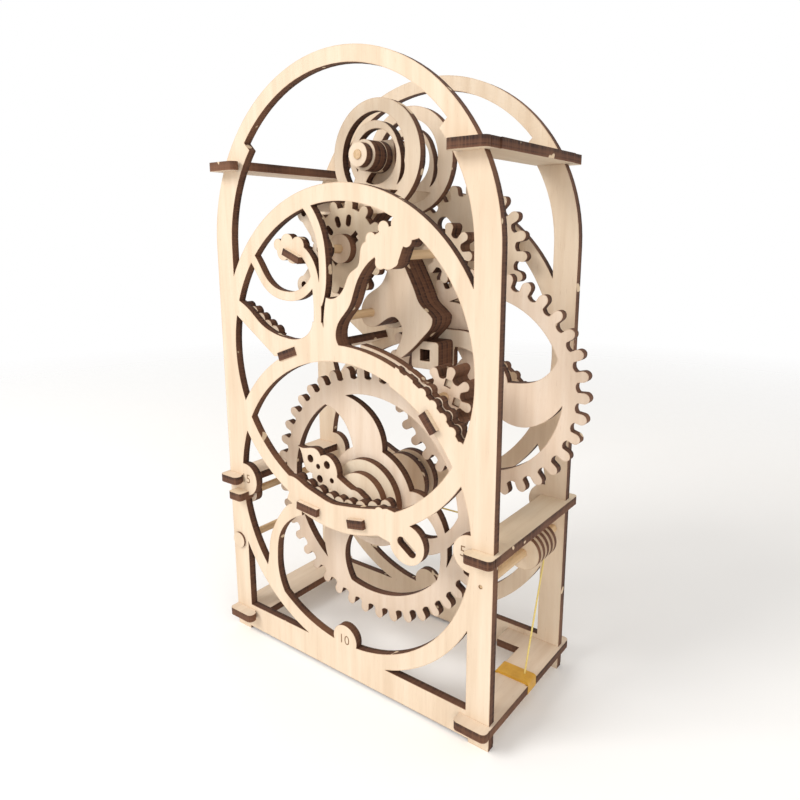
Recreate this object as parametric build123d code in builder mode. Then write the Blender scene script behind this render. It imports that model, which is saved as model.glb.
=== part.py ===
"""Plywood clockwork timer: two arched plates, shelves between them, a toothed dial with a
pointer, two more toothed wheels, a star wheel, an anchor and a spiral balance.
Every part is cut from one thickness of plywood; the axles are round wooden skewers."""
import os
from math import asin, atan2, cos, hypot, pi, radians, sin

from build123d import *

os.makedirs("parts", exist_ok=True)

# Driving sizes in millimetres. x is across, y is the depth behind the front face, z is up.
PLY = 3.0
HALF_WIDTH = 60.0
RAIL = 8.6
ARCH_CENTRE = 154.5
DEPTH = 54.6
BACK = DEPTH - PLY
FOOT = 1.2
SHIFT = -6.2
RING_HIGH = 117.0
RING_LOW = 65.0
RING_IN = 52.3
RING_OUT = 58.0
PIN = 1.5
FIT = 0.08
MODULE = 2.2
DIAL_TEETH = 42
WHEEL_A_TEETH = 34
WHEEL_B_TEETH = 20
LEAVES = 8
TIP = 0.4545
WHEEL_TOOTH = (1.60, 0.8636, 0.909)
LEAF_TOOTH = (1.45, 0.6818, 1.0455)
TOWARDS_A = 51.65
TOWARDS_B = 106.5
TOWARDS_E = 177.0
DIAL_Y = 15.3
A_WHEEL_Y = 34.0
B_WHEEL_Y = 45.3
STAR_Y = 15.5
STAR_R = 16.8
SPIRAL_R = 18.6
SHELF_OUT = 4.5
PROUD = 1.6


def step(start, distance, direction):
    """Point at a distance from start in a direction given in degrees."""
    a = radians(direction)
    return (start[0] + distance * cos(a), start[1] + distance * sin(a))


AXLE_D = (0.0, RING_LOW)
AXLE_A = step(AXLE_D, MODULE * (DIAL_TEETH + LEAVES) / 2, TOWARDS_A)
AXLE_B = step(AXLE_A, MODULE * (WHEEL_A_TEETH + LEAVES) / 2, TOWARDS_B)
AXLE_E = step(AXLE_B, MODULE * (WHEEL_B_TEETH + LEAVES) / 2, TOWARDS_E)
AXLE_S = (0.0, 184.3)
AXLE_N = (-1.5, 132.0)
AXLE_T = (55.8, 54.6)
SKEWER_HIGH = (-52.6, 57.8)
SKEWER_LOW = (-56.2, 37.5)


def layer(y):
    """Plane of an upright layer whose front face lies y behind the front."""
    return Plane(origin=(SHIFT, y - DEPTH / 2, FOOT), x_dir=(1, 0, 0), z_dir=(0, -1, 0))


def level(z):
    """Plane of a shelf whose underside is at height z above the base bar's edge."""
    return Plane(origin=(SHIFT, -DEPTH / 2, FOOT + z), x_dir=(1, 0, 0), z_dir=(0, 0, 1))


def patch(*sides):
    """Closed face: each side is a straight line (two points) or a smooth curve (more)."""
    with BuildSketch(Plane.XY) as shape:
        with BuildLine() as edge:
            for side in sides:
                if len(side) == 2:
                    Line(side[0], side[1])
                else:
                    Spline(*side)
        make_face()
    return shape.sketch


def ribbon(points, width):
    """Strip of one width that follows a smooth centre line."""
    left = []
    right = []
    for i, p in enumerate(points):
        a = points[max(i - 1, 0)]
        b = points[min(i + 1, len(points) - 1)]
        span = hypot(b[0] - a[0], b[1] - a[1])
        nx = -(b[1] - a[1]) / span * width / 2
        ny = (b[0] - a[0]) / span * width / 2
        left.append((p[0] + nx, p[1] + ny))
        right.append((p[0] - nx, p[1] - ny))
    right.reverse()
    return patch(left, [left[-1], right[0]], right, [right[-1], left[0]])


def toothed(teeth, thick, head, foot, phase):
    """Toothed outline about the origin: straight root, rounded flanks and tips."""
    pitch = teeth * MODULE / 2
    t = thick * MODULE
    ha = head * MODULE
    tip = TIP * MODULE
    half = asin(t / 2 / pitch)
    root = pitch - foot * MODULE
    base = pitch * cos(half)
    rho = (ha * ha + t * t / 4 - 2 * ha * tip) / (t - 2 * tip)
    cx = rho - t / 2
    end = atan2(ha - tip, -cx)
    mid = (pi + end) / 2
    gap = 2 * pi / teeth

    def at(angle, x, y):
        r = base + y
        return (r * cos(angle) - x * sin(angle), r * sin(angle) + x * cos(angle))

    def polar(angle, r):
        return (r * cos(angle), r * sin(angle))

    side_mid = (cx + rho * cos(mid), rho * sin(mid))
    side_end = (cx + rho * cos(end), rho * sin(end))
    with BuildSketch(Plane.XY) as shape:
        with BuildLine() as edge:
            for i in range(teeth):
                a = radians(phase) + i * gap
                before = polar(a - gap + half, root)
                foot_in = polar(a - half, root)
                foot_out = polar(a + half, root)
                low_in = polar(a - half, pitch)
                low_out = polar(a + half, pitch)
                top_in = at(a, side_end[0], side_end[1])
                top_out = at(a, -side_end[0], side_end[1])
                ThreePointArc(before, polar(a - gap / 2, root - 0.7), foot_in)
                Line(foot_in, low_in)
                ThreePointArc(low_in, at(a, side_mid[0], side_mid[1]), top_in)
                ThreePointArc(top_in, at(a, 0, ha), top_out)
                ThreePointArc(top_out, at(a, -side_mid[0], side_mid[1]), low_out)
                Line(low_out, foot_out)
        make_face()
    return shape.sketch


def bent_spoke(inner, outer, start, end, half_in, half_out):
    """Curved spoke: from angle start at the inner radius to angle end at the outer one."""
    left = []
    right = []
    for i in range(5):
        f = i / 4
        r = inner + (outer - inner) * f
        a = start + (end - start) * f * f
        w = half_in + (half_out - half_in) * f
        left.append(step((0, 0), r, a + w))
        right.append(step((0, 0), r, a - w))
    right.reverse()
    return patch(left, [left[-1], right[0]], right, [right[-1], left[0]])


def wheel(outline, rim, hub, spokes):
    """Toothed outline opened between the hub and the rim, with bent spokes put back."""
    with BuildSketch(Plane.XY) as shape:
        add(outline)
        Circle(rim, mode=Mode.SUBTRACT)
        Circle(hub)
        for start, end, half_in, half_out in spokes:
            add(bent_spoke(hub - 1, rim + 1, start, end, half_in, half_out))
    return shape.sketch


def scallops(points, height, lobes):
    """Wavy band along a line of points, with rounded lobes on its upper side."""
    with BuildSketch(Plane.XY) as shape:
        add(ribbon(points, height))
        for i in range(lobes):
            f = (i + 0.5) / lobes * (len(points) - 1)
            k = min(int(f), len(points) - 2)
            g = f - k
            x = points[k][0] * (1 - g) + points[k + 1][0] * g
            z = points[k][1] * (1 - g) + points[k + 1][1] * g
            with Locations((x, z + height / 2 - 0.6)):
                Circle(2.3)
    return shape.sketch


# ---------------------------------------------------------------- plate outlines
STEM = patch(
    [(-6, 121), (-6.5, 128), (-5, 138.5)],
    [(-5, 138.5), (0, 139), (3, 142), (6, 147), (9, 149), (10.5, 155), (13, 157)],
    [(13, 157), (20, 160.5), (25, 162), (30, 162.5), (33.5, 161.5)],
    [(33.5, 161.5), (33, 158), (28, 156.5), (25.5, 152), (22.5, 148.6), (19, 148.8), (16, 152)],
    [(16, 152), (12, 149), (8, 143), (5, 136), (0, 130), (-1, 126), (4, 121)],
    [(4, 121), (-6, 121)],
)
NOTCHES = [(31.5, 0.0), (36.5, 0.4), (41.5, 0.0), (46.5, 0.3), (51.5, 0.0), (57.0, 0.5), (63.0, 0.8)]


def notched_arc(inner, outer, first, last, depth):
    """Piece of the lower ring with a wavy outer edge, from one angle to another."""
    with BuildSketch(Plane.XY) as shape:
        with BuildLine() as edge:
            middle = (first + last) / 2
            a = step(AXLE_D, inner, first)
            b = step(AXLE_D, outer, first)
            c = step(AXLE_D, outer, last)
            d = step(AXLE_D, inner, last)
            Line(a, b)
            ThreePointArc(b, step(AXLE_D, outer, middle), c)
            Line(c, d)
            ThreePointArc(d, step(AXLE_D, inner, middle), a)
        make_face()
        for angle, raise_by in NOTCHES:
            with Locations(step(AXLE_D, outer + 1.0 - depth + raise_by, angle)):
                Circle(2.0, mode=Mode.SUBTRACT)
        for angle, raise_by in NOTCHES[:5]:
            with Locations(step(AXLE_D, outer - 1.2, angle + 2.5)):
                Circle(1.7)
    return shape.sketch


LEAF = notched_arc(RING_IN - 0.6, 58.6, 26.0, 66.0, 0.6)
LEAF_BEHIND = notched_arc(RING_IN + 0.4, 59.0, 27.0, 83.0, 0.0)
LEFT_BAND = patch(
    [(-51.5, 136), (-47, 134), (-43, 131.5), (-38, 127.5), (-32, 124.7), (-25, 123.3)],
    [(-25, 123.3), (-19, 123.3), (-14, 125.5), (-11.5, 130)],
    [(-11.5, 130), (-7, 130)],
    [(-7, 130), (-4, 120)],
    [(-4, 120), (-31, 116)],
    [(-31, 116), (-51.5, 130)],
    [(-51.5, 130), (-51.5, 136)],
)
SCROLL = ribbon([(-42, 152), (-38.5, 148), (-35, 143), (-30, 139.3), (-24, 138), (-18, 138.6),
                 (-13, 141.5), (-9.5, 146)], 3.2)
STRIP_P = ribbon([(-9.6, 127), (-9, 134), (-9.4, 141), (-11, 148), (-15, 153), (-21, 154.5)], 3.4)
STRIP_Q = ribbon([(-14, 169), (-9.5, 163.5), (-7, 157), (-6.2, 150), (-6.4, 143), (-8.5, 136)], 3.2)
OAK_LOBES = [(14.5, 157.5), (19.5, 160.8), (24.5, 162.0), (29.0, 163.6), (32.5, 160.6), (28.0, 157.2),
             (23.0, 151.2), (18.2, 150.4)]
CURL = patch(
    [(-20, 61.5), (-27, 60), (-31, 56), (-35, 50), (-38, 43), (-39, 37), (-40.3, 31)],
    [(-40.3, 31), (-41, 27), (-34, 20), (-30.5, 22)],
    [(-30.5, 22), (-33.2, 28), (-34.2, 34), (-34, 39), (-33, 45), (-30, 50.5), (-25, 55), (-20, 57.5)],
    [(-20, 57.5), (-20, 61.5)],
)
EYE_BAR = patch(
    [(-27, 71.5), (-22, 71.2), (-18, 69.4), (-12, 67.6), (-5, 66), (0, 66.4), (10, 68), (20, 70.5)],
    [(20, 70.5), (27, 69.5)],
    [(27, 69.5), (20, 62), (10, 58.5), (0, 57), (-10, 57), (-18, 58.5), (-24, 62)],
    [(-24, 62), (-27, 71.5)],
)

BEARINGS = [
    (AXLE_D, PIN + FIT),
    (AXLE_A, PIN + FIT),
    (AXLE_B, PIN + FIT),
    (AXLE_E, PIN + FIT),
    (AXLE_N, PIN + FIT),
]
PEGS = [
    (-16.0, 61.5, 10.0, 3.0, -5.0),
    (7.0, 61.8, 7.0, 3.2, 10.0),
    (37.0, 103.0, 7.0, 3.0, -52.0),
    (-19.5, 151.8, 8.0, 2.4, -22.0),
]
BOARD = (-24.5, 117.5, 9.0, 3.0, 20.0)
BEAM = (-22.0, 169.8, 8.0, 3.0, 21.0)
TABS = [
    # shelf top height, inner x, outer x; the tab crosses the plate as a tenon
    (8.0, 49.0, 60.0),
    (66.1, 52.5, 60.0),
    (184.0, 47.0, 57.0),
]

with BuildSketch(Plane.XY) as plate_shape:
    with Locations((0, ARCH_CENTRE / 2)):
        Rectangle(2 * HALF_WIDTH, ARCH_CENTRE)
    with Locations((0, ARCH_CENTRE)):
        Circle(HALF_WIDTH)
        Circle(HALF_WIDTH - RAIL, mode=Mode.SUBTRACT)
    with Locations((0, (ARCH_CENTRE + 10) / 2)):
        Rectangle(2 * (HALF_WIDTH - RAIL), ARCH_CENTRE - 10, mode=Mode.SUBTRACT)
    with BuildLine() as crown:
        ThreePointArc((42, 190), (0, ARCH_CENTRE + 55.1), (-42, 190))
        Line((-42, 190), (-38.5, 186.5))
        Line((-38.5, 186.5), (38.5, 186.5))
        Line((38.5, 186.5), (42, 190))
    make_face(mode=Mode.SUBTRACT)
    for centre in (RING_HIGH, RING_LOW):
        with Locations((0, centre)):
            Circle(RING_OUT)
    for centre in (RING_HIGH, RING_LOW):
        with Locations((0, centre)):
            Circle(RING_IN, mode=Mode.SUBTRACT)
    for centre in (RING_HIGH, RING_LOW):
        with BuildSketch(Plane.XY, mode=Mode.PRIVATE) as band:
            with Locations((0, centre)):
                Circle(RING_OUT)
                Circle(RING_IN, mode=Mode.SUBTRACT)
        add(band.sketch)
    with Locations((0, 14.5)):
        Circle(5.5)
    with Locations((-51, 64.5)):
        Circle(6.5)
    with Locations((52, 64)):
        Circle(6.2)
    for side in (-1, 1):
        with Locations((side * 56.2, -FOOT / 2 + 0.1)):
            Rectangle(7.4, FOOT + 0.2)
    with Locations((0, 5)):
        Rectangle(2 * HALF_WIDTH, 10)

with BuildSketch(Plane.XY) as front_shape:
    add(plate_shape.sketch)
    add(STEM)
    add(LEAF)
    add(LEFT_BAND)
    add(SCROLL)
    add(STRIP_P)
    add(STRIP_Q)
    add(CURL)
    add(EYE_BAR)
    add(scallops([(-26, 66), (-18, 62.6), (-8, 60.6), (0, 60.4), (10, 62.2), (20, 65.6)], 8.0, 8))
    with Locations((-17.5, 155.2), (-22.5, 156.2), (-24.5, 153.2), (-20, 152.2)):
        Circle(3.0)
    with Locations(*OAK_LOBES):
        Circle(2.1)
    with Locations((-27, 155.5)):
        Circle(2.0)
    with Locations((28, 60)):
        Circle(7)
    with Locations(Location((20.5, 62.5), -12)):
        Rectangle(12, 7)
    with Locations(Location((28, 59.2), -35)):
        SlotOverall(8.4, 3.4, mode=Mode.SUBTRACT)

with BuildSketch(Plane.XY) as back_shape:
    add(plate_shape.sketch)
    add(STEM)
    add(LEAF)
    add(EYE_BAR)
    add(LEFT_BAND)
    add(STRIP_Q)
    with Locations(AXLE_E):
        Circle(3.6)


def drill(points):
    """Round bearing holes for the axles."""
    for centre, radius in points:
        with Locations(centre):
            Circle(radius, mode=Mode.SUBTRACT)


def slots(items):
    """Rectangular slots for pegs and boards, cut to their size."""
    for x, z, length, height, turn in items:
        with Locations(Location((x, z), turn)):
            Rectangle(length, height, mode=Mode.SUBTRACT)


def tab_slots():
    """Slots for the ends of the shelves in both uprights and the arch."""
    for top, inner, outer in TABS:
        for side in (-1, 1):
            with Locations((side * (inner + outer) / 2, top - PLY / 2)):
                Rectangle(outer - inner, PLY, mode=Mode.SUBTRACT)


with BuildPart() as front_plate:
    with BuildSketch(layer(0)):
        add(front_shape.sketch)
        tab_slots()
        slots(PEGS)
        slots([BOARD, (-53.0, 58.3, 7.0, PLY, 0)])
        drill([(AXLE_T, 0.6 + FIT), (SKEWER_LOW, 3.2)])
    extrude(amount=-PLY)
front_plate.part.label = "front_plate"
export_step(front_plate.part, "parts/front_plate.step")

with BuildPart() as back_plate:
    with BuildSketch(layer(BACK)):
        add(back_shape.sketch)
        tab_slots()
        slots([BOARD, BEAM])
        drill(BEARINGS)
        drill([(AXLE_T, 0.6 + FIT), (SKEWER_HIGH, PIN), (SKEWER_LOW, PIN)])
    extrude(amount=-PLY)
back_plate.part.label = "back_plate"
export_step(back_plate.part, "parts/back_plate.step")

# ---------------------------------------------------------------- second layers
with BuildPart() as stem_layer:
    with BuildSketch(layer(PLY)):
        add(STEM)
        with Locations(*OAK_LOBES):
            Circle(2.1)
        drill([(AXLE_B, PIN + FIT), (AXLE_N, PIN + FIT)])
    extrude(amount=-PLY)
stem_layer.part.label = "stem_layer"
export_step(stem_layer.part, "parts/stem_layer.step")

with BuildPart() as leaf_layer:
    with BuildSketch(layer(PLY)):
        add(LEAF_BEHIND)
        slots(PEGS[2:3])
        drill([(AXLE_A, PIN + FIT)])
    extrude(amount=-PLY)
leaf_layer.part.label = "leaf_layer"
export_step(leaf_layer.part, "parts/leaf_layer.step")

with BuildPart() as eye_bar_layer:
    with BuildSketch(layer(PLY)):
        add(scallops([(-27, 66.5), (-18, 64), (-8, 62), (0, 61.8), (10, 63.5), (20, 67)], 8.4, 9))
        slots(PEGS[0:2])
        drill([(AXLE_D, PIN + FIT)])
    extrude(amount=-PLY)
eye_bar_layer.part.label = "eye_bar_layer"
export_step(eye_bar_layer.part, "parts/eye_bar_layer.step")

with BuildPart() as left_band_layer:
    with BuildSketch(layer(PLY)):
        add(scallops([(-51, 130.5), (-44, 128), (-38, 124), (-32, 121)], 6.0, 5))
    extrude(amount=-PLY)
left_band_layer.part.label = "left_band_layer"
export_step(left_band_layer.part, "parts/left_band_layer.step")

with BuildPart() as star_bracket:
    with BuildSketch(layer(PLY)):
        add(ribbon([(-17, 166), (-12.5, 160), (-9.8, 154), (-12.5, 148), (-18, 142)], 4.4))
        for spot in ((-17, 166), (-18, 142)):
            with Locations(spot):
                Circle(3.1)
                Circle(1.2, mode=Mode.SUBTRACT)
        with Locations(AXLE_E):
            Circle(3.6)
        with Locations(Location((-17, 152.2), -22)):
            Rectangle(14, 5)
        slots(PEGS[3:4])
        drill([(AXLE_E, PIN + FIT)])
    extrude(amount=-PLY)
star_bracket.part.label = "star_bracket"
export_step(star_bracket.part, "parts/star_bracket.step")

for index, name in enumerate(("peg_eye_left", "peg_eye_middle", "peg_leaf", "peg_scroll")):
    x, z, length, height, turn = PEGS[index]
    with BuildPart() as peg:
        with BuildSketch(layer(-PROUD)):
            with Locations(Location((x, z), turn)):
                Rectangle(length, height)
        extrude(amount=-(2 * PLY + PROUD))
    peg.part.label = name
    export_step(peg.part, "parts/" + name + ".step")

# ---------------------------------------------------------------- boards between the plates
for name, item, front in (("cross_board", BOARD, -0.4), ("bridge_beam", BEAM, PLY)):
    x, z, length, height, turn = item
    with BuildPart() as board:
        with BuildSketch(layer(front)):
            with Locations(Location((x, z), turn)):
                Rectangle(length, height)
        extrude(amount=-(DEPTH + 0.4 - front))
    board.part.label = name
    export_step(board.part, "parts/" + name + ".step")


def shelf(name, top, side, tab_in, tab_out, head_in, body_in, body_out, wide_from):
    """Shelf with a tab and a wider head through each plate, and its body between them."""
    with BuildPart() as board:
        with BuildSketch(level(top - PLY)):
            xs = [tab_in, tab_out, body_in, body_out]
            with Locations((side * (xs[0] + xs[1]) / 2, DEPTH / 2)):
                Rectangle(xs[1] - xs[0], DEPTH + 2 * SHELF_OUT - 6)
            for y in (-SHELF_OUT + 2.0, DEPTH + SHELF_OUT - 2.0):
                with Locations((side * (head_in + xs[1]) / 2, y)):
                    RectangleRounded(xs[1] - head_in, 4.0, 1.8)
            with Locations((side * (xs[2] + xs[3]) / 2, DEPTH / 2)):
                Rectangle(xs[3] - xs[2], BACK - PLY)
            if wide_from:
                with Locations((side * (xs[2] - 4.5), (wide_from + BACK) / 2)):
                    Rectangle(9.5, BACK - wide_from)
            if name == "base_shelf_right":
                for x in (48.2, 61.0):
                    with Locations((x, 28)):
                        Rectangle(2.0, 6.6, mode=Mode.SUBTRACT)
        extrude(amount=PLY)
    board.part.label = name
    export_step(board.part, "parts/" + name + ".step")
    return board


shelf("base_shelf_right", 8.0, 1, 49.0, 61.0, 49.0, 48.5, 61.0, 42.5)
shelf("base_shelf_left", 8.0, -1, 49.0, 60.0, 47.4, 46.0, 60.5, 0)
shelf("mid_shelf_right", 66.1, 1, 52.5, 61.5, 51.5, 50.5, 61.5, 0)
shelf("mid_shelf_left", 66.1, -1, 52.5, 61.0, 51.5, 49.5, 61.0, 0)
shelf("shoulder_shelf_right", 184.0, 1, 47.0, 57.0, 44.0, 43.5, 57.5, 0)
shelf("shoulder_shelf_left", 184.0, -1, 47.0, 57.0, 44.0, 43.5, 57.5, 0)

with BuildPart() as brace_left:
    with BuildSketch(level(58.3 - PLY / 2)):
        with Locations((-53, (PLY - SHELF_OUT) / 2)):
            RectangleRounded(7.0, SHELF_OUT + PLY, 1.2)
    extrude(amount=PLY)
brace_left.part.label = "brace_left"
export_step(brace_left.part, "parts/brace_left.step")

# ---------------------------------------------------------------- balance post
for name, depth in (("post_front", 25.2), ("post_middle", 28.2), ("post_rear", 31.2)):
    with BuildPart() as post:
        with BuildSketch(layer(depth)):
            add(patch(
                [(-4, 190), (4, 190)],
                [(4, 190), (4.6, 182), (3, 174), (-3, 166), (-9, 160)],
                [(-9, 160), (-16, 160)],
                [(-16, 160), (-18, 163), (-28, 166)],
                [(-28, 166), (-27, 173)],
                [(-27, 173), (-18, 175), (-10, 174)],
                [(-10, 174), (-5.5, 179), (-4.6, 184), (-4, 190)],
            ))
            slots([BEAM])
            drill([(AXLE_S, PIN + FIT)])
        extrude(amount=-PLY)
    post.part.label = name
    export_step(post.part, "parts/" + name + ".step")

# ---------------------------------------------------------------- dial
dial_outline = toothed(DIAL_TEETH, *WHEEL_TOOTH, TOWARDS_A)
dial_wheel = wheel(dial_outline, 38.0, 19.0,
                   [(93, 118, 22, 8), (-35, 0, 10, 6), (10, -38, 9, 5), (225, 247, 16, 10)])
with BuildPart() as dial_gear:
    with BuildSketch(layer(DIAL_Y)):
        with Locations(AXLE_D):
            add(dial_wheel)
            Rectangle(3.6, 3.6, mode=Mode.SUBTRACT)
    extrude(amount=-PLY)
dial_gear.part.label = "dial_gear"
export_step(dial_gear.part, "parts/dial_gear.step")

for name, depth, radius in (("dial_disc_large", DIAL_Y - PLY, 14.7),
                            ("dial_disc_small", DIAL_Y - 2 * PLY, 10.5)):
    with BuildPart() as disc:
        with BuildSketch(layer(depth)):
            with Locations(AXLE_D):
                Circle(radius)
                Rectangle(3.6, 3.6, mode=Mode.SUBTRACT)
        extrude(amount=-PLY)
    disc.part.label = name
    export_step(disc.part, "parts/" + name + ".step")

POINTER_TURN = 149.0
with BuildPart() as pointer:
    with BuildSketch(layer(DIAL_Y - 3 * PLY)):
        with Locations(Location(AXLE_D, POINTER_TURN)):
            add(patch(
                [(0, 4.5), (6, 3.4), (11, 3.0)],
                [(11, 3.0), (14, 6.4), (18, 7.0), (21, 4.4)],
                [(21, 4.4), (25, 4.8), (28, 2.2), (32, 0)],
                [(32, 0), (28, -2.2), (25, -4.8), (21, -4.4)],
                [(21, -4.4), (18, -7.0), (14, -6.4), (11, -3.0)],
                [(11, -3.0), (6, -3.4), (0, -4.5)],
                [(0, -4.5), (-9, -3), (-12, 0), (-9, 3), (0, 4.5)],
            ))
            Circle(5.2)
            with Locations((17, 3.6), (17, -3.6), (24.5, 0)):
                Circle(1.5, mode=Mode.SUBTRACT)
            with Locations((12.2, 0), (20, 0)):
                Circle(1.0, mode=Mode.SUBTRACT)
        with Locations(AXLE_D):
            Rectangle(3.6, 3.6, mode=Mode.SUBTRACT)
    extrude(amount=-PLY)
pointer.part.label = "pointer"
export_step(pointer.part, "parts/pointer.step")

with BuildPart() as dial_shaft:
    with BuildSketch(layer(PLY + 0.3)):
        with Locations(AXLE_D):
            Circle(PIN)
    extrude(amount=-(DEPTH - PLY - 0.6))
    with BuildSketch(layer(DIAL_Y - 3 * PLY - 0.01)):
        with Locations(AXLE_D):
            Rectangle(3.6, 3.6)
    extrude(amount=-(45.0 - DIAL_Y + 3 * PLY))
dial_shaft.part.label = "dial_shaft"
export_step(dial_shaft.part, "parts/dial_shaft.step")

with BuildPart() as winding_drum:
    with BuildSketch(layer(37.5)):
        with Locations(AXLE_D):
            RegularPolygon(8.4, 6)
            Rectangle(3.6, 3.6, mode=Mode.SUBTRACT)
    extrude(amount=-PLY)
winding_drum.part.label = "winding_drum"
export_step(winding_drum.part, "parts/winding_drum.step")

with BuildPart() as winding_flanges:
    for depth in (34.5, 40.5):
        with BuildSketch(layer(depth)):
            with Locations(AXLE_D):
                Circle(11.0)
                Rectangle(3.6, 3.6, mode=Mode.SUBTRACT)
        extrude(amount=-PLY)
winding_flanges.part.label = "winding_flanges"
export_step(winding_flanges.part, "parts/winding_flanges.step")


# ---------------------------------------------------------------- toothed wheels
def axle(name, centre, length_from=PLY + 0.3, length_to=DEPTH - 0.3):
    """Round skewer turning in the bearing holes of both plates."""
    with BuildPart() as rod:
        with BuildSketch(layer(length_from)):
            with Locations(centre):
                Circle(PIN)
        extrude(amount=-(length_to - length_from))
    rod.part.label = name
    export_step(rod.part, "parts/" + name + ".step")


def pinion(name, centre, front, back, phase, pegs):
    """Stack of leafed layers, with square holes for the pegs that tie it to its wheel."""
    leaf = toothed(LEAVES, *LEAF_TOOTH, phase)
    with BuildPart() as stack:
        with BuildSketch(layer(front)):
            with Locations(centre):
                add(leaf)
                Circle(PIN, mode=Mode.SUBTRACT)
                for k in range(pegs):
                    with Locations(Location(step((0, 0), 4.6, phase + 90 * k), phase + 90 * k)):
                        Rectangle(2.6, 2.6, mode=Mode.SUBTRACT)
        extrude(amount=-(back - front))
    stack.part.label = name
    export_step(stack.part, "parts/" + name + ".step")


def gear(name, centre, front, outline, bore=PIN):
    """One flat toothed wheel on its axle."""
    with BuildPart() as flat:
        with BuildSketch(layer(front)):
            with Locations(centre):
                add(outline)
                Circle(bore, mode=Mode.SUBTRACT)
        extrude(amount=-PLY)
    flat.part.label = name
    export_step(flat.part, "parts/" + name + ".step")


def pegs_for(name, centre, front, back, phase):
    """Four square pegs through a pinion, seen as small squares on its face."""
    with BuildPart() as group:
        with BuildSketch(layer(front)):
            with Locations(centre):
                for k in range(4):
                    with Locations(Location(step((0, 0), 4.6, phase + 90 * k), phase + 90 * k)):
                        Rectangle(2.6, 2.6)
        extrude(amount=-(back - front))
    group.part.label = name
    export_step(group.part, "parts/" + name + ".step")


HALF_LEAF = 180 / LEAVES
PHASE_A = TOWARDS_A + 180 + HALF_LEAF
PHASE_B = TOWARDS_B + 180 + HALF_LEAF
PHASE_E = TOWARDS_E + 180 + HALF_LEAF

axle("axle_a", AXLE_A)
pinion("pinion_a", AXLE_A, DIAL_Y - 3.1, DIAL_Y + 6.0, PHASE_A, 4)
pegs_for("pinion_a_pegs", AXLE_A, DIAL_Y - 2.3, DIAL_Y + 6.0, PHASE_A)
wheel_a_outline = toothed(WHEEL_A_TEETH, *WHEEL_TOOTH, TOWARDS_B)
gear("wheel_a", AXLE_A, A_WHEEL_Y,
     wheel(wheel_a_outline, 30.5, 11.0,
           [(-22, 12, 34, 13), (98, 132, 34, 13), (218, 252, 34, 13)]))

axle("axle_b", AXLE_B)
pinion("pinion_b", AXLE_B, A_WHEEL_Y - 1.5, A_WHEEL_Y + 4.5, PHASE_B, 0)
wheel_b_outline = toothed(WHEEL_B_TEETH, *WHEEL_TOOTH, TOWARDS_E)
with BuildSketch(Plane.XY) as wheel_b_shape:
    add(wheel_b_outline)
    for k in range(4):
        with Locations(Location(step((0, 0), 12.0, 45 + 90 * k), 45 + 90 * k)):
            SlotOverall(9, 5.5, mode=Mode.SUBTRACT)
gear("wheel_b", AXLE_B, B_WHEEL_Y, wheel_b_shape.sketch)

axle("axle_e", AXLE_E)
pinion("pinion_e", AXLE_E, B_WHEEL_Y - 1.5, B_WHEEL_Y + 4.5, PHASE_E, 0)

with BuildSketch(Plane.XY) as star_shape:
    Circle(STAR_R - 3.0)
    with PolarLocations(STAR_R - 2.6, 13):
        SlotOverall(5.2, 3.6)
    with PolarLocations(6.0, 2, start_angle=40, angular_range=360):
        Rectangle(3.2, 3.2, mode=Mode.SUBTRACT)
    with PolarLocations(9.6, 3, start_angle=80, angular_range=90):
        SlotOverall(4.0, 2.2, mode=Mode.SUBTRACT)
gear("star_wheel", AXLE_E, STAR_Y, star_shape.sketch)

with BuildPart() as star_hub:
    with BuildSketch(layer(STAR_Y - PLY)):
        with Locations(AXLE_E):
            Circle(5.0)
            Circle(PIN, mode=Mode.SUBTRACT)
    extrude(amount=-PLY)
star_hub.part.label = "star_hub"
export_step(star_hub.part, "parts/star_hub.step")

# ---------------------------------------------------------------- anchor
ANCHOR = patch(
    [(-5, 128), (-6, 133), (-3, 138), (3, 142), (6, 147), (8.5, 151)],
    [(8.5, 151), (11.5, 151)],
    [(11.5, 151), (14.8, 145), (17.5, 139.6), (19.1, 136.4), (22.3, 133.7), (24.4, 131.6)],
    [(24.4, 131.6), (23.9, 128.9), (21.2, 125.7), (16.9, 121.4), (11.5, 117.1)],
    [(11.5, 117.1), (8.5, 118)],
    [(8.5, 118), (11, 122.5), (12, 127), (9, 131), (5, 130), (1, 127.5), (-5, 128)],
)
for index, name in enumerate(("anchor_front", "anchor_second", "anchor_third", "anchor_rear")):
    with BuildPart() as plate:
        with BuildSketch(layer(19.2 + index * PLY)):
            add(ANCHOR)
            drill([(AXLE_N, PIN)])
        extrude(amount=-PLY)
    plate.part.label = name
    export_step(plate.part, "parts/" + name + ".step")

with BuildPart() as anchor_arm:
    with BuildSketch(layer(19.2 + 4 * PLY)):
        add(ribbon([(-1.5, 132), (10, 126.5), (20, 123.8), (29, 123.6), (36.5, 120.5)], 6.0))
        with Locations(AXLE_N):
            Circle(7.0)
        with Locations((19.4, 118.5)):
            RectangleRounded(12.0, 10.0, 1.5)
        with Locations((19.4, 118.5)):
            Rectangle(4.0, 4.0, mode=Mode.SUBTRACT)
        drill([(AXLE_N, PIN)])
    extrude(amount=-2.4)
anchor_arm.part.label = "anchor_arm"
export_step(anchor_arm.part, "parts/anchor_arm.step")

with BuildPart() as anchor_block:
    with BuildSketch(layer(19.2 + PLY)):
        with Locations((19.4, 118.5)):
            RectangleRounded(11.0, 9.5, 1.2)
            Rectangle(4.0, 4.0, mode=Mode.SUBTRACT)
        add(ANCHOR, mode=Mode.SUBTRACT)
    extrude(amount=-3 * PLY)
anchor_block.part.label = "anchor_block"
export_step(anchor_block.part, "parts/anchor_block.step")
axle("anchor_pin", AXLE_N)

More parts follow.
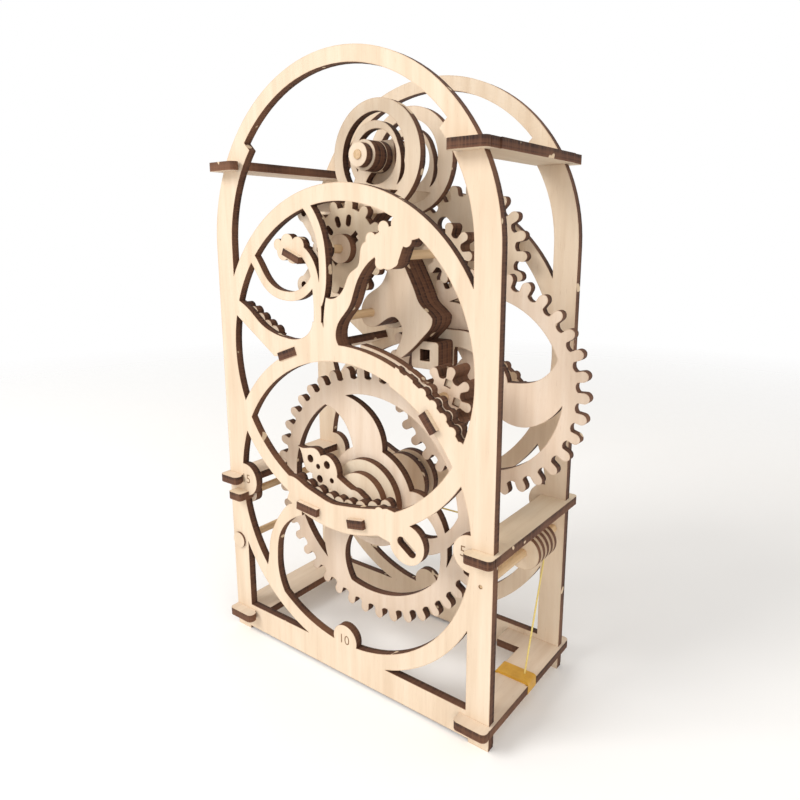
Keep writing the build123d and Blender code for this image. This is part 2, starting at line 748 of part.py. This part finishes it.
# ---------------------------------------------------------------- spiral balance
with BuildSketch(Plane.XY) as spiral_shape:
    Circle(SPIRAL_R)
    with BuildLine() as slot_edge:
        ThreePointArc((9.5, -11.2), (-14.6, 0.0), (0.0, 14.6))
        ThreePointArc((0.0, 14.6), (9.6, 9.4), (12.2, -2.0))
        ThreePointArc((12.2, -2.0), (11.6, -6.8), (9.0, -9.4))
        ThreePointArc((9.0, -9.4), (10.8, -3.0), (9.4, 4.2))
        ThreePointArc((9.4, 4.2), (4.6, 10.2), (-2.6, 11.4))
        ThreePointArc((-2.6, 11.4), (-11.2, 1.0), (-5.2, -9.8))
        Line((-5.2, -9.8), (9.5, -11.2))
    make_face(mode=Mode.SUBTRACT)
    Circle(9.0, mode=Mode.SUBTRACT)
    Circle(5.2)
    add(ribbon([(-3.0, -3.0), (-6.0, -6.2), (-7.6, -9.8), (-8.6, -13.6)], 5.0))
for name, depth in (("spiral_front", 20.4), ("spiral_rear", 39.4)):
    with BuildPart() as plate:
        with BuildSketch(layer(depth)):
            with Locations(AXLE_S):
                add(spiral_shape.sketch)
                Circle(PIN, mode=Mode.SUBTRACT)
        extrude(amount=-PLY)
    plate.part.label = name
    export_step(plate.part, "parts/" + name + ".step")

with BuildPart() as balance_axle:
    with BuildSketch(layer(11.0)):
        with Locations(AXLE_S):
            Circle(PIN)
    extrude(amount=-34.0)
balance_axle.part.label = "balance_axle"
export_step(balance_axle.part, "parts/balance_axle.step")

with BuildPart() as balance_hubs:
    for depth, radius in ((11.4, 3.9), (14.4, 5.0), (17.4, 5.0), (36.4, 5.0)):
        with BuildSketch(layer(depth)):
            with Locations(AXLE_S):
                Circle(radius)
                Circle(PIN, mode=Mode.SUBTRACT)
        extrude(amount=-PLY)
balance_hubs.part.label = "balance_hubs"
export_step(balance_hubs.part, "parts/balance_hubs.step")

# ---------------------------------------------------------------- thread drum, skewers, cords
with BuildPart() as thread_axle:
    with BuildSketch(layer(0.3)):
        with Locations(AXLE_T):
            Circle(0.6)
    extrude(amount=-(DEPTH - 0.6))
    with BuildSketch(layer(PLY + 0.3)):
        with Locations(AXLE_T):
            Circle(PIN)
    extrude(amount=-(DEPTH - 2 * PLY - 0.6))
thread_axle.part.label = "thread_axle"
export_step(thread_axle.part, "parts/thread_axle.step")

DRUM_Y = 27.5
with BuildPart() as thread_drum:
    with BuildSketch(layer(DRUM_Y)):
        with Locations(AXLE_T):
            Circle(1.9)
            Circle(PIN, mode=Mode.SUBTRACT)
    extrude(amount=-13.7)
    for k in range(5):
        with BuildSketch(layer(DRUM_Y + 3 * k)):
            with Locations(AXLE_T):
                Circle(6.0)
                Circle(PIN, mode=Mode.SUBTRACT)
        extrude(amount=-1.7)
thread_drum.part.label = "thread_drum"
export_step(thread_drum.part, "parts/thread_drum.step")

axle("skewer_high", SKEWER_HIGH, 3.2, DEPTH)
axle("skewer_low", SKEWER_LOW, 3.2, DEPTH)
with BuildPart() as skewer_plug:
    with BuildSketch(layer(-0.8)):
        with Locations(SKEWER_LOW):
            Circle(3.2)
    extrude(amount=-4.0)
skewer_plug.part.label = "skewer_plug"
export_step(skewer_plug.part, "parts/skewer_plug.step")
with BuildPart() as skewer_knob:
    with BuildSketch(layer(3.2)):
        with Locations(SKEWER_HIGH):
            Circle(4.0)
            Circle(PIN, mode=Mode.SUBTRACT)
    extrude(amount=-PLY)
skewer_knob.part.label = "skewer_knob"
export_step(skewer_knob.part, "parts/skewer_knob.step")

THREAD_R = 0.3
THREAD_Y = DRUM_Y + 3 * 3 + 1.7 + 0.65
WIND_R = 9.0
DRUM_R = 1.9 + 0.3 + THREAD_R
span_x = AXLE_T[0] - AXLE_D[0]
span_z = AXLE_T[1] - AXLE_D[1]
lean = atan2(span_z, span_x) + asin((WIND_R + DRUM_R) / hypot(span_x, span_z))
LEAN = lean * 180 / pi
with BuildPart() as thread:
    with BuildLine(layer(THREAD_Y)) as route:
        leave = step(AXLE_D, WIND_R, LEAN - 90)
        arrive = step(AXLE_T, DRUM_R, LEAN + 90)
        start = step(AXLE_D, WIND_R, LEAN - 90 - 170)
        ThreePointArc(start, step(AXLE_D, WIND_R, LEAN - 90 - 85), leave)
        Line(leave, arrive)
        ThreePointArc(arrive, step(AXLE_T, DRUM_R, (LEAN + 90) / 2), step(AXLE_T, DRUM_R, 0))
        Line(step(AXLE_T, DRUM_R, 0), (AXLE_T[0] + DRUM_R, AXLE_T[1] - 7.5))
    with BuildSketch(Plane(origin=route.line @ 0, z_dir=route.line % 0)):
        Circle(THREAD_R)
    sweep()
    with BuildLine() as fall:
        Line(
            (SHIFT + AXLE_T[0] + DRUM_R, THREAD_Y - DEPTH / 2, FOOT + AXLE_T[1] - 7.5),
            (SHIFT + 57.6, 29.0 - DEPTH / 2, FOOT + 9.0),
        )
    with BuildSketch(Plane(origin=fall.line @ 0, z_dir=fall.line % 0)):
        Circle(THREAD_R)
    sweep(path=fall.line)
    with Locations(fall.line @ 0):
        Sphere(THREAD_R)
thread.part.label = "thread"
export_step(thread.part, "parts/thread.step")

with BuildPart() as rubber_band:
    with BuildSketch(layer(25.0)):
        with Locations((54.6, 6.5)):
            RectangleRounded(12.8, 5.0, 1.0)
            Rectangle(10.8, PLY, mode=Mode.SUBTRACT)
    extrude(amount=-6.0)
rubber_band.part.label = "rubber_band"
export_step(rubber_band.part, "parts/rubber_band.step")
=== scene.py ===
"""Looks of the plywood clockwork timer: birch plywood with charred cut edges, round
skewers, a rubber band and thread, engraved dial figures, and a plain pale studio."""

import math

import bpy
from mathutils import Matrix, Vector


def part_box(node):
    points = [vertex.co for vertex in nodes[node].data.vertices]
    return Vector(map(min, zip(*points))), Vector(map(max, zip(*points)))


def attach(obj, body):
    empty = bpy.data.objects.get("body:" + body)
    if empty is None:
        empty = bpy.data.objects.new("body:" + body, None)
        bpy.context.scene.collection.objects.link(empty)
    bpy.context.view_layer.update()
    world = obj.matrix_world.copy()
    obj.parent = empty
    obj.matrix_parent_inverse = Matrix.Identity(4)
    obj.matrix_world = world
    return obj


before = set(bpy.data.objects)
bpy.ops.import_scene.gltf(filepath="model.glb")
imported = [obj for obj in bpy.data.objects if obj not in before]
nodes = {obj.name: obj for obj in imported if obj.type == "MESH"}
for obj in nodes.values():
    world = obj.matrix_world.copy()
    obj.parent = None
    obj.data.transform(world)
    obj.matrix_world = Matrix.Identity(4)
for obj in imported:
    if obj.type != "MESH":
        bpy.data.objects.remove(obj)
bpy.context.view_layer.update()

# metres: the front face's middle, half the depth between the plates, the feet and one sheet
SHIFT = -0.0062
MID = 0.0273
FOOT = 0.0012
PLY = 0.003


def spot(x, y, z):
    """Point given in millimetres across, behind the front face and above the base bar."""
    return Vector((x / 1000 + SHIFT, y / 1000 - MID, z / 1000 + FOOT))


# ---------------------------------------------------------------- shader helpers
def feed(tree, value, socket):
    """Links an output socket to an input, or sets a plain value on it."""
    if hasattr(value, "is_linked"):
        tree.links.new(value, socket)
    elif value is not None:
        socket.default_value = value


def math_node(tree, op, a, b=None):
    """Math node of one or two numbers or sockets."""
    n = tree.nodes.new("ShaderNodeMath")
    n.operation = op
    feed(tree, a, n.inputs[0])
    feed(tree, b, n.inputs[1])
    return n.outputs[0]


def vec_node(tree, op, a, b=None, scale=None):
    """Vector math node; a dot product gives its number, the others their vector."""
    n = tree.nodes.new("ShaderNodeVectorMath")
    n.operation = op
    feed(tree, a, n.inputs[0])
    feed(tree, b, n.inputs[1])
    if scale is not None:
        feed(tree, scale, n.inputs["Scale"])
    return n.outputs["Value"] if op == "DOT_PRODUCT" else n.outputs["Vector"]


def along_part(tree, point, axis, share):
    """Share of a point's part that lies along an axis, as a vector."""
    length = vec_node(tree, "DOT_PRODUCT", point, axis)
    return vec_node(tree, "SCALE", axis, scale=math_node(tree, "MULTIPLY", length, share))


def noise(tree, vector, scale, detail=3.0, rough=0.5):
    """Noise factor at a point, scale in cells per metre."""
    n = tree.nodes.new("ShaderNodeTexNoise")
    tree.links.new(vector, n.inputs["Vector"])
    n.inputs["Scale"].default_value = scale
    n.inputs["Detail"].default_value = detail
    n.inputs["Roughness"].default_value = rough
    return n.outputs["Fac"]


def ramp(tree, fac, stops):
    """Colour ramp; each stop is a place and a colour or a grey level."""
    n = tree.nodes.new("ShaderNodeValToRGB")
    while len(n.color_ramp.elements) < len(stops):
        n.color_ramp.elements.new(0.5)
    for e, (p, c) in zip(n.color_ramp.elements, stops):
        e.position = p
        e.color = (c[0], c[1], c[2], 1) if hasattr(c, "__len__") else (c, c, c, 1)
    tree.links.new(fac, n.inputs["Fac"])
    return n.outputs["Color"]


def mix(tree, fac, a, b, mode="MIX"):
    """Mixes colour b over colour a by a factor."""
    n = tree.nodes.new("ShaderNodeMix")
    n.data_type = "RGBA"
    n.blend_type = mode
    feed(tree, fac, n.inputs[0])
    for colour, socket in ((a, n.inputs[6]), (b, n.inputs[7])):
        feed(tree, colour if hasattr(colour, "is_linked") else (*colour, 1), socket)
    return n.outputs[2]


def plywood_group():
    """Birch plywood: pale grained faces, and laser-cut edges with dark plies and nicks."""
    tree = bpy.data.node_groups.new("birch_plywood", "ShaderNodeTree")
    sockets = tree.interface
    for name, kind in (("Across", "NodeSocketVector"), ("Along", "NodeSocketVector"),
                       ("Start", "NodeSocketFloat"), ("Seed", "NodeSocketVector"),
                       ("Tint", "NodeSocketColor")):
        sockets.new_socket(name=name, in_out="INPUT", socket_type=kind)
    for name, kind in (("Colour", "NodeSocketColor"), ("Roughness", "NodeSocketFloat"),
                       ("Normal", "NodeSocketVector")):
        sockets.new_socket(name=name, in_out="OUTPUT", socket_type=kind)
    given = tree.nodes.new("NodeGroupInput").outputs
    result = tree.nodes.new("NodeGroupOutput").inputs
    tex = tree.nodes.new("ShaderNodeTexCoord")
    p = tex.outputs["Object"]
    across = given["Across"]
    seed = given["Seed"]

    # faces look along the thickness, and t runs from 0 to 1 through one sheet
    facing = math_node(tree, "ABSOLUTE", vec_node(tree, "DOT_PRODUCT", tex.outputs["Normal"], across))
    is_face = math_node(tree, "GREATER_THAN", facing, 0.7)
    depth = math_node(tree, "SUBTRACT", vec_node(tree, "DOT_PRODUCT", p, across), given["Start"])
    sheets = math_node(tree, "DIVIDE", depth, PLY)
    t = math_node(tree, "FRACT", math_node(tree, "ADD", sheets, 0.0001))

    # face: grain stretched along the sheet, pores, warm clouds and a scorched rim
    squeezed = vec_node(tree, "SUBTRACT", p, along_part(tree, p, given["Along"], 0.93))
    grain_at = vec_node(tree, "ADD", squeezed, seed)
    free_at = vec_node(tree, "ADD", p, seed)
    fine = noise(tree, grain_at, 1500, 3, 0.6)
    broad = noise(tree, grain_at, 260, 4, 0.55)
    cloud = noise(tree, free_at, 22, 2, 0.5)
    pores = noise(tree, grain_at, 3400, 2, 0.4)
    pale = ramp(tree, broad, [(0.30, (0.690, 0.560, 0.425)), (0.50, (0.765, 0.645, 0.510)),
                              (0.72, (0.815, 0.715, 0.590))])
    pale = mix(tree, math_node(tree, "MULTIPLY", fine, 0.30), pale, (0.63, 0.49, 0.36))
    pale = mix(tree, ramp(tree, pores, [(0.66, 0.0), (0.76, 0.32)]), pale, (0.45, 0.30, 0.19))
    pale = mix(tree, ramp(tree, cloud, [(0.40, 0.0), (0.75, 0.30)]), pale, (0.70, 0.55, 0.41))
    pale = mix(tree, 1.0, pale, given["Tint"], "MULTIPLY")
    bevel = tree.nodes.new("ShaderNodeBevel")
    bevel.samples = 4
    bevel.inputs["Radius"].default_value = 0.0006
    geo = tree.nodes.new("ShaderNodeNewGeometry")
    rim = vec_node(tree, "DOT_PRODUCT", bevel.outputs["Normal"], geo.outputs["Normal"])
    rim = ramp(tree, rim, [(0.86, 1.0), (0.995, 0.0)])
    patches = ramp(tree, noise(tree, free_at, 90, 2), [(0.35, 0.18), (0.65, 0.75)])
    pale = mix(tree, math_node(tree, "MULTIPLY", rim, patches), pale, (0.42, 0.24, 0.12))

    # cut edge: three plies, darker where the beam left, with striations across the edge
    plies = ramp(tree, t, [(0.0, (0.135, 0.056, 0.030)), (0.30, (0.048, 0.018, 0.010)),
                           (0.36, (0.098, 0.040, 0.022)), (0.62, (0.066, 0.026, 0.014)),
                           (0.70, (0.028, 0.010, 0.007)), (1.0, (0.016, 0.007, 0.005))])
    flat = vec_node(tree, "SUBTRACT", p, along_part(tree, p, across, 0.94))
    stripes = noise(tree, vec_node(tree, "ADD", flat, seed), 1900, 2, 0.5)
    char = mix(tree, ramp(tree, stripes, [(0.38, 0.0), (0.72, 0.55)]), plies, (0.170, 0.078, 0.040))
    burnt = noise(tree, free_at, 34, 2, 0.5)
    char = mix(tree, ramp(tree, burnt, [(0.46, 0.0), (0.72, 0.55)]), char, (0.240, 0.112, 0.058))
    nick = noise(tree, free_at, 210, 1, 0.4)
    char = mix(tree, ramp(tree, nick, [(0.715, 0.0), (0.735, 0.85)]), char, (0.72, 0.56, 0.38))

    bump = tree.nodes.new("ShaderNodeBump")
    bump.inputs["Strength"].default_value = 0.25
    bump.inputs["Distance"].default_value = 0.00012
    feed(tree, math_node(tree, "ADD", fine, stripes), bump.inputs["Height"])
    feed(tree, mix(tree, is_face, char, pale), result["Colour"])
    feed(tree, ramp(tree, broad, [(0.2, 0.62), (0.8, 0.80)]), result["Roughness"])
    feed(tree, bump.outputs["Normal"], result["Normal"])
    return tree


PLYWOOD = plywood_group()


def plywood(name, across, along, start, seed, tint):
    """Plywood material for a piece whose thickness runs across and whose grain runs along."""
    m = bpy.data.materials.new("plywood_" + name)
    m.use_nodes = True
    tree = m.node_tree
    shader = tree.nodes["Principled BSDF"]
    group = tree.nodes.new("ShaderNodeGroup")
    group.node_tree = PLYWOOD
    group.inputs["Across"].default_value = across
    group.inputs["Along"].default_value = along
    group.inputs["Start"].default_value = start
    group.inputs["Seed"].default_value = seed
    group.inputs["Tint"].default_value = (*tint, 1)
    feed(tree, group.outputs["Colour"], shader.inputs["Base Color"])
    feed(tree, group.outputs["Roughness"], shader.inputs["Roughness"])
    feed(tree, group.outputs["Normal"], shader.inputs["Normal"])
    shader.inputs["Specular IOR Level"].default_value = 0.32
    return m


def simple(name, base, dark, scale, stretch, rough, spec=0.3):
    """One-colour material broken up by stretched noise."""
    m = bpy.data.materials.new(name)
    m.use_nodes = True
    tree = m.node_tree
    shader = tree.nodes["Principled BSDF"]
    tex = tree.nodes.new("ShaderNodeTexCoord")
    at = vec_node(tree, "MULTIPLY", tex.outputs["Object"], stretch)
    n = noise(tree, at, scale, 3, 0.6)
    tree.links.new(ramp(tree, n, [(0.3, dark), (0.7, base)]), shader.inputs["Base Color"])
    bump = tree.nodes.new("ShaderNodeBump")
    bump.inputs["Strength"].default_value = 0.3
    bump.inputs["Distance"].default_value = 0.0001
    tree.links.new(n, bump.inputs["Height"])
    tree.links.new(bump.outputs["Normal"], shader.inputs["Normal"])
    shader.inputs["Roughness"].default_value = rough
    shader.inputs["Specular IOR Level"].default_value = spec
    return m


def dress(node, material):
    """Gives a frame node its material."""
    o = nodes[node]
    o.data.materials.clear()
    o.data.materials.append(material)


# ---------------------------------------------------------------- materials on the frame
SHELVES = ("base_shelf_right", "base_shelf_left", "mid_shelf_right", "mid_shelf_left",
           "shoulder_shelf_right", "shoulder_shelf_left", "brace_left")
TILTED = {"cross_board": 20.0, "bridge_beam": 21.0, "peg_eye_left": -5.0, "peg_eye_middle": 10.0,
          "peg_leaf": -52.0, "peg_scroll": -22.0}
SKEWERS = ("axle_a", "axle_b", "axle_e", "anchor_pin", "balance_axle", "thread_axle",
           "skewer_high", "skewer_low", "dial_shaft")
skewer = simple("skewer", (0.66, 0.48, 0.29), (0.50, 0.33, 0.18), 900, (1, 0.06, 1), 0.6)
band = simple("rubber", (0.62, 0.34, 0.035), (0.50, 0.25, 0.02), 300, (1, 1, 1), 0.45, 0.5)
cotton = simple("thread", (0.80, 0.66, 0.26), (0.62, 0.47, 0.14), 4000, (1, 1, 0.4), 0.8, 0.2)
for i, name in enumerate(sorted(nodes)):
    seed = (0.37 * (i % 7), 0.53 * (i % 5), 0.29 * (i % 11))
    lo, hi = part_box(name)
    tone = 1.0 - 0.035 * ((i * 7) % 4)
    tint = (tone, tone * (0.99 - 0.01 * (i % 3)), tone * (0.98 - 0.015 * (i % 4)))
    if name in SKEWERS:
        dress(name, skewer)
    elif name == "rubber_band":
        dress(name, band)
    elif name == "thread":
        dress(name, cotton)
    elif name in SHELVES:
        dress(name, plywood(name, (0, 0, 1), (0, 1, 0), lo[2], seed, tint))
    elif name in TILTED:
        a = math.radians(TILTED[name])
        across = (-math.sin(a), 0, math.cos(a))
        centre = [(lo[k] + hi[k]) / 2 for k in range(3)]
        start = sum(c * d for c, d in zip(centre, across)) - PLY / 2
        dress(name, plywood(name, across, (0, 1, 0), start, seed, tint))
    else:
        dress(name, plywood(name, (0, 1, 0), (0, 0, 1), lo[1], seed, tint))

# ---------------------------------------------------------------- engraved figures
ink = simple("engraving", (0.28, 0.17, 0.10), (0.16, 0.09, 0.05), 2500, (1, 1, 1), 0.9, 0.1)


def figure(text, x, z, height):
    """Shallow burnt figure on the front face, made as a thin mesh."""
    curve = bpy.data.curves.new("figure_" + text, "FONT")
    curve.body = text
    curve.align_x = "CENTER"
    curve.align_y = "CENTER"
    curve.size = height
    curve.offset = -0.00004
    curve.extrude = 0.00002
    holder = bpy.data.objects.new("figure_tmp", curve)
    bpy.context.scene.collection.objects.link(holder)
    bpy.context.view_layer.update()
    shown = holder.evaluated_get(bpy.context.evaluated_depsgraph_get())
    mesh = bpy.data.meshes.new_from_object(shown)
    bpy.data.objects.remove(holder)
    turn = Matrix.Rotation(math.pi / 2, 4, "X")
    mesh.transform(Matrix.Translation(spot(x, -0.02, z)) @ turn)
    o = bpy.data.objects.new("figure_" + text, mesh)
    bpy.context.scene.collection.objects.link(o)
    mesh.materials.clear()
    mesh.materials.append(ink)
    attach(o, "frame")


FIGURE_HEIGHT = 0.0052
for text, x, z in (("15", -50.6, 64.8), ("5", 49.4, 64.2), ("10", -0.4, 14.2)):
    figure(text, x, z, FIGURE_HEIGHT)

# ---------------------------------------------------------------- studio
floor_mesh = bpy.data.meshes.new("floor")
REACH = 6
corners = [(-REACH, -REACH, 0), (REACH, -REACH, 0), (REACH, REACH, 0), (-REACH, REACH, 0)]
floor_mesh.from_pydata(corners, [], [(0, 1, 2, 3)])
floor = bpy.data.objects.new("floor", floor_mesh)
bpy.context.scene.collection.objects.link(floor)
paper = bpy.data.materials.new("paper")
paper.use_nodes = True
tree = paper.node_tree
sheet = tree.nodes["Principled BSDF"]
sheet.inputs["Base Color"].default_value = (0.93, 0.93, 0.93, 1)
sheet.inputs["Roughness"].default_value = 0.9
spread = tree.nodes.new("ShaderNodeTexGradient")
spread.gradient_type = "SPHERICAL"
place = tree.nodes.new("ShaderNodeTexCoord")
grow = tree.nodes.new("ShaderNodeMapping")
grow.inputs["Scale"].default_value = (1.25, 1.25, 1.25)
clear = tree.nodes.new("ShaderNodeBsdfTransparent")
blend = tree.nodes.new("ShaderNodeMixShader")
tree.links.new(place.outputs["Object"], grow.inputs["Vector"])
tree.links.new(grow.outputs["Vector"], spread.inputs["Vector"])
tree.links.new(ramp(tree, spread.outputs["Fac"], [(0.0, 0.0), (0.62, 1.0)]), blend.inputs["Fac"])
tree.links.new(clear.outputs[0], blend.inputs[1])
tree.links.new(sheet.outputs[0], blend.inputs[2])
tree.links.new(blend.outputs[0], tree.nodes["Material Output"].inputs["Surface"])
floor_mesh.materials.append(paper)

world = bpy.data.worlds.new("studio")
world.use_nodes = True
sky = world.node_tree
sky.nodes["Background"].inputs["Color"].default_value = (1.0, 0.975, 0.94, 1)
sky.nodes["Background"].inputs["Strength"].default_value = 0.74
path = sky.nodes.new("ShaderNodeLightPath")
white = sky.nodes.new("ShaderNodeBackground")
white.inputs["Color"].default_value = (1, 1, 1, 1)
white.inputs["Strength"].default_value = 1.0
swap = sky.nodes.new("ShaderNodeMixShader")
sky.links.new(path.outputs["Is Camera Ray"], swap.inputs["Fac"])
sky.links.new(sky.nodes["Background"].outputs[0], swap.inputs[1])
sky.links.new(white.outputs[0], swap.inputs[2])
sky.links.new(swap.outputs[0], sky.nodes["World Output"].inputs["Surface"])
bpy.context.scene.world = world


AIM = Vector((0, 0, 0.1))


def lamp(name, place, size, power, colour):
    """Square area lamp aimed at the middle of the object."""
    light = bpy.data.lights.new(name, "AREA")
    light.shape = "SQUARE"
    light.size = size
    light.energy = power
    light.color = colour
    o = bpy.data.objects.new(name, light)
    o.location = place
    o.rotation_euler = (AIM - Vector(place)).to_track_quat("-Z", "Y").to_euler()
    bpy.context.scene.collection.objects.link(o)


lamp("key", (-0.45, -0.75, 0.75), 0.5, 7.5, (1.0, 0.98, 0.95))
lamp("fill", (0.8, -0.5, 0.45), 0.7, 3.0, (1.0, 0.985, 0.97))

# ---------------------------------------------------------------- camera
PLACE = Vector((0.14098, -0.18752, 0.16050))
AZ = math.radians(37.444)
EL = math.radians(11.963)
ROLL = math.radians(-0.265)
forward = Vector((-math.sin(AZ) * math.cos(EL), math.cos(AZ) * math.cos(EL), -math.sin(EL)))
right = forward.cross(Vector((0, 0, 1))).normalized()
up = right.cross(forward)
side = right * math.cos(ROLL) + up * math.sin(ROLL)
top = up * math.cos(ROLL) - right * math.sin(ROLL)
camera = bpy.data.cameras.new("camera")
camera.sensor_width = 36
camera.lens = 29.9
camera.shift_x = 0.0036
camera.shift_y = -0.033
camera.clip_start = 0.01
eye = bpy.data.objects.new("camera", camera)
turned = Matrix((side, top, -forward)).transposed()
eye.matrix_world = Matrix.Translation(PLACE) @ turned.to_4x4()
bpy.context.scene.collection.objects.link(eye)
bpy.context.scene.camera = eye

scene = bpy.context.scene
scene.view_settings.view_transform = "Standard"
scene.view_settings.look = "None"
scene.view_settings.exposure = 0.0
